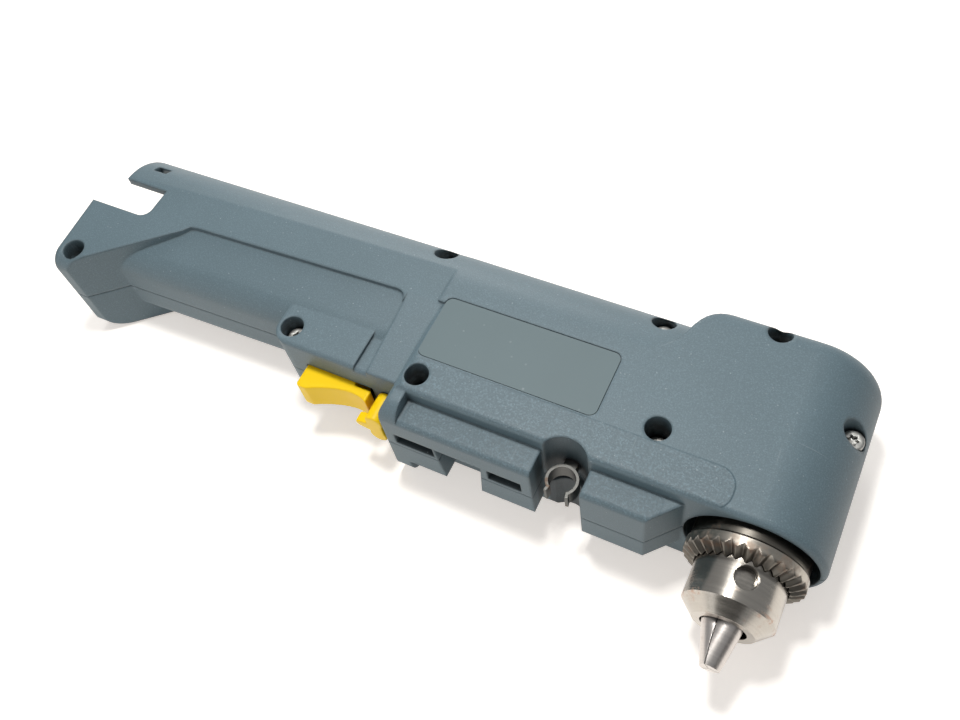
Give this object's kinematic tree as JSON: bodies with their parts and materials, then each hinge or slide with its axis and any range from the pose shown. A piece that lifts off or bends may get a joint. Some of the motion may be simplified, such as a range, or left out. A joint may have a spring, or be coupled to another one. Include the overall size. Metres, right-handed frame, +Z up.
{
  "type": "right angle drill",
  "caption": "Cordless right angle drill in blue grey plastic with a yellow trigger and a keyed three-jaw chuck, shown lying on its side with its battery bay empty.",
  "frame": {"origin": "bottom centre of the box, on the side that the drill lies on", "axes": "+X from the battery end to the chuck head, -Y the way the chuck points, +Z up from the lying side"},
  "size_m": [0.282, 0.102, 0.044],
  "materials": {
    "housing_plastic": "fine grained blue grey glass filled nylon",
    "control_plastic": "satin moulded yellow",
    "black_plastic": "matt black",
    "plate": "bare satin plate",
    "chuck_steel": "turned steel with light rust",
    "screw_steel": "zinc plated",
    "clip_steel": "bent spring steel",
    "can_steel": "zinc plated sheet",
    "gear_steel": "hardened and greased",
    "bearing_steel": "ground",
    "core_steel": "laminated, varnished",
    "magnet": "sintered ferrite",
    "carbon": "pressed carbon",
    "contact_brass": "bare brass",
    "lead_copper": "copper",
    "winding_copper": "enamelled copper wire"
  },
  "bodies": {
    "housing": {"upper_housing": "housing_plastic", "lower_housing": "housing_plastic", "housing_screws": "screw_steel", "name_plate": "plate", "key_clip": "clip_steel", "trigger_switch": "black_plastic", "contact_block": "black_plastic", "contact_blades": "contact_brass", "supply_leads": "lead_copper", "motor_leads": "lead_copper", "motor_can": "can_steel", "motor_magnets": "magnet", "motor_end_cap": "black_plastic", "carbon_brushes": "carbon", "ring_gear": "gear_steel", "pinion_bearing": "bearing_steel", "spindle_bearing": "bearing_steel", "spindle_bush": "contact_brass"},
    "trigger": {"trigger": "control_plastic"},
    "lever": {"reverse_lever": "control_plastic"},
    "rotor": {"motor_shaft": "gear_steel", "armature_core": "core_steel", "armature_windings": "winding_copper", "commutator": "lead_copper", "motor_fan": "black_plastic", "sun_pinion": "gear_steel"},
    "carrier": {"planet_carrier": "gear_steel", "bevel_pinion": "gear_steel"},
    "planet_1": {"planet_gear_1": "gear_steel"},
    "planet_2": {"planet_gear_2": "gear_steel"},
    "planet_3": {"planet_gear_3": "gear_steel"},
    "spindle": {"spindle": "gear_steel", "crown_gear": "gear_steel", "spindle_circlip": "gear_steel", "chuck_body": "chuck_steel", "chuck_screw": "screw_steel"},
    "sleeve": {"chuck_sleeve": "chuck_steel", "chuck_nut": "gear_steel"},
    "jaw_1": {"chuck_jaw_1": "chuck_steel"},
    "jaw_2": {"chuck_jaw_2": "chuck_steel"},
    "jaw_3": {"chuck_jaw_3": "chuck_steel"}
  },
  "joints": [
    {"name": "trigger_slide", "type": "slide", "parent": "housing", "child": "trigger", "axis": [0, 1, 0], "range_m": [0, 0.005], "stiffness_N_per_m": 700, "springref_m": -0.004},
    {"name": "lever_turn", "type": "hinge", "parent": "housing", "child": "lever", "pos_m": [-0.0034, -0.0118, 0.022], "axis": [0, 1, 0], "range_deg": [-18, 18]},
    {"name": "rotor_spin", "type": "hinge", "parent": "housing", "child": "rotor", "pos_m": [0.03, 0.018, 0.022], "axis": [1, 0, 0], "continuous": true},
    {"name": "carrier_spin", "type": "hinge", "parent": "housing", "child": "carrier", "pos_m": [0.071, 0.018, 0.022], "axis": [1, 0, 0], "continuous": true},
    {"name": "spindle_spin", "type": "hinge", "parent": "housing", "child": "spindle", "pos_m": [0.119, 0.018, 0.022], "axis": [0, -1, 0], "continuous": true},
    {"name": "planet_1_spin", "type": "hinge", "parent": "carrier", "child": "planet_1", "pos_m": [0.065, 0.02734, 0.022], "axis": [1, 0, 0], "continuous": true},
    {"name": "planet_2_spin", "type": "hinge", "parent": "carrier", "child": "planet_2", "pos_m": [0.065, 0.01333, 0.03009], "axis": [1, 0, 0], "continuous": true},
    {"name": "planet_3_spin", "type": "hinge", "parent": "carrier", "child": "planet_3", "pos_m": [0.065, 0.01333, 0.01392], "axis": [1, 0, 0], "continuous": true},
    {"name": "sleeve_turn", "type": "hinge", "parent": "spindle", "child": "sleeve", "pos_m": [0.119, -0.02, 0.022], "axis": [0, -1, 0], "range_deg": [0, 3078.18]},
    {"name": "jaw_1_slide", "type": "slide", "parent": "spindle", "child": "jaw_1", "axis": [0.1236, 0.9563, -0.265], "range_m": [0, 0.0171]},
    {"name": "jaw_2_slide", "type": "slide", "parent": "spindle", "child": "jaw_2", "axis": [-0.2913, 0.9563, 0.0255], "range_m": [0, 0.0171]},
    {"name": "jaw_3_slide", "type": "slide", "parent": "spindle", "child": "jaw_3", "axis": [0.1677, 0.9563, 0.2395], "range_m": [0, 0.0171]}
  ],
  "couplings": [
    {"joint": "carrier_spin", "follows": "rotor_spin", "ratio": 0.25},
    {"joint": "spindle_spin", "follows": "rotor_spin", "ratio": 0.083333},
    {"joint": "planet_1_spin", "follows": "rotor_spin", "ratio": -0.75},
    {"joint": "planet_2_spin", "follows": "rotor_spin", "ratio": -0.75},
    {"joint": "planet_3_spin", "follows": "rotor_spin", "ratio": -0.75},
    {"joint": "jaw_1_slide", "follows": "sleeve_turn", "m_per_rad": 0.00031828},
    {"joint": "jaw_2_slide", "follows": "sleeve_turn", "m_per_rad": 0.00031828},
    {"joint": "jaw_3_slide", "follows": "sleeve_turn", "m_per_rad": 0.00031828}
  ]
}
